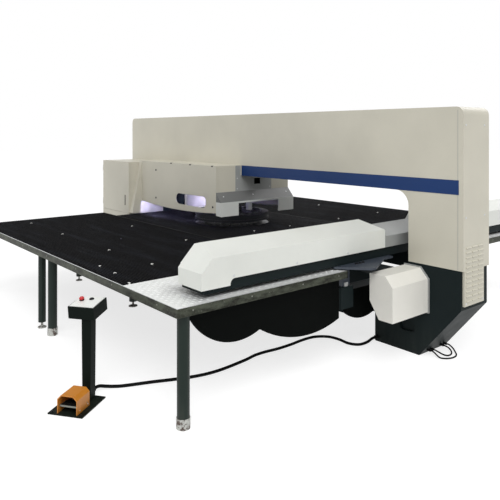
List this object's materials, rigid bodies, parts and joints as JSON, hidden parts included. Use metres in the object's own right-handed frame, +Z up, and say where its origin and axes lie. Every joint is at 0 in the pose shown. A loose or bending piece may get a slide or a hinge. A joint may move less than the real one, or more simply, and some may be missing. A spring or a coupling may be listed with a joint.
{
  "type": "turret punch press",
  "caption": "Closed-frame turret punch press with brush tables, a cross rail with clamps, a hinged cabinet door and a foot-switch pedestal on a floor cable",
  "frame": {"origin": "on the floor, below the turret axis, on the centre plane of the closed frame", "axes": "+X runs along the frame towards the louvred end, +Y away from the door side, +Z is up"},
  "size_m": [5.879, 5.9278, 2.26],
  "materials": {
    "off_white_paint": "satin",
    "rail_white_paint": "satin",
    "base_paint": "satin",
    "band_paint": "satin",
    "grey_paint": "satin",
    "brush": "matte",
    "edge_steel": "satin",
    "leg_paint": "satin",
    "bright_steel": "satin",
    "tool_steel": "satin",
    "orange_paint": "satin",
    "red_plastic": "gloss",
    "black_rubber": "matte",
    "black_plastic": "matte"
  },
  "bodies": {
    "base": {"frame": "base_paint", "near_side_cover": "off_white_paint", "far_side_cover": "off_white_paint", "top_cover": "off_white_paint", "left_end_cover": "off_white_paint", "louvred_end_cover": "off_white_paint", "trim_bands": "band_paint", "near_turret_housing": "off_white_paint", "near_front_panel": "off_white_paint", "far_turret_housing": "off_white_paint", "turret_hood": "grey_paint", "throat_panel": "grey_paint", "access_cabinet": "off_white_paint", "door_hinges": "bright_steel", "upper_bearing": "bright_steel", "lower_bearing": "bright_steel", "ram_guide": "base_paint", "near_table_frame": "edge_steel", "far_table_frame": "edge_steel", "near_brush_top": "brush", "far_brush_top": "brush", "tread_plates": "bright_steel", "centre_table": "brush", "table_legs": "leg_paint", "leg_feet": "edge_steel", "guide_beds": "base_paint", "guide_rails": "bright_steel", "drive_cover": "off_white_paint", "drive_flange": "grey_paint", "table_apron": "black_rubber", "pedestal": "leg_paint", "console": "leg_paint", "control_plate": "bright_steel", "pedal_guard": "orange_paint", "cable_glands": "black_plastic", "pedal_cable": "black_rubber", "loop_cable_a": "black_rubber", "loop_cable_b": "black_rubber"},
    "upper_turret": {"upper_turret": "tool_steel", "upper_shaft": "tool_steel", "punch_holders": "bright_steel"},
    "lower_turret": {"lower_turret": "tool_steel", "lower_shaft": "tool_steel", "die_holders": "bright_steel"},
    "ram": {"ram": "bright_steel"},
    "cross_rail": {"saddles": "base_paint", "rail_beam": "base_paint", "near_rail_cover": "rail_white_paint", "centre_rail_cover": "grey_paint", "far_rail_cover": "rail_white_paint"},
    "carriage": {"carriage": "base_paint", "clamp_bodies": "bright_steel"},
    "near_jaw": {"clamp_jaw_near": "tool_steel"},
    "far_jaw": {"clamp_jaw_far": "tool_steel"},
    "door": {"access_door": "off_white_paint", "door_pull": "black_plastic"},
    "pedal": {"pedal": "bright_steel"},
    "stop_button": {"stop_button": "red_plastic"},
    "start_button": {"start_button": "black_plastic"}
  },
  "joints": [
    {"name": "upper_turret_spin", "type": "hinge", "parent": "base", "child": "upper_turret", "pos_m": [0, 0, 0.94], "axis": [0, 0, 1], "continuous": true},
    {"name": "lower_turret_spin", "type": "hinge", "parent": "base", "child": "lower_turret", "pos_m": [0, 0, 0.77], "axis": [0, 0, 1], "continuous": true},
    {"name": "ram_stroke", "type": "slide", "parent": "base", "child": "ram", "axis": [0, 0, -1], "range_m": [0, 0.035]},
    {"name": "rail_travel", "type": "slide", "parent": "base", "child": "cross_rail", "axis": [-1, 0, 0], "range_m": [0, 1.25]},
    {"name": "carriage_travel", "type": "slide", "parent": "cross_rail", "child": "carriage", "axis": [0, 1, 0], "range_m": [0, 2.5]},
    {"name": "near_jaw_close", "type": "hinge", "parent": "carriage", "child": "near_jaw", "pos_m": [2.335, -2.1, 0.918], "axis": [0, -1, 0], "range_deg": [0, 4.5]},
    {"name": "far_jaw_close", "type": "hinge", "parent": "carriage", "child": "far_jaw", "pos_m": [2.335, -0.85, 0.918], "axis": [0, -1, 0], "range_deg": [0, 4.5]},
    {"name": "door_swing", "type": "hinge", "parent": "base", "child": "door", "pos_m": [-2.303, -0.753, 1.2], "axis": [0, 0, -1], "range_deg": [0, 110]},
    {"name": "pedal_press", "type": "hinge", "parent": "base", "child": "pedal", "pos_m": [2.03323, -3.03155, 0.046], "axis": [0.809, 0.5878, 0], "range_deg": [0, 12], "stiffness_Nm_per_rad": 8, "springref_deg": -5.73},
    {"name": "stop_press", "type": "slide", "parent": "base", "child": "stop_button", "axis": [-0.0818, 0.1126, -0.9903], "range_m": [0, 0.006], "stiffness_N_per_m": 1500, "springref_m": -0.003},
    {"name": "start_press", "type": "slide", "parent": "base", "child": "start_button", "axis": [-0.0818, 0.1126, -0.9903], "range_m": [0, 0.004], "stiffness_N_per_m": 1500, "springref_m": -0.003}
  ],
  "couplings": [
    {"joint": "lower_turret_spin", "follows": "upper_turret_spin", "ratio": 1}
  ]
}
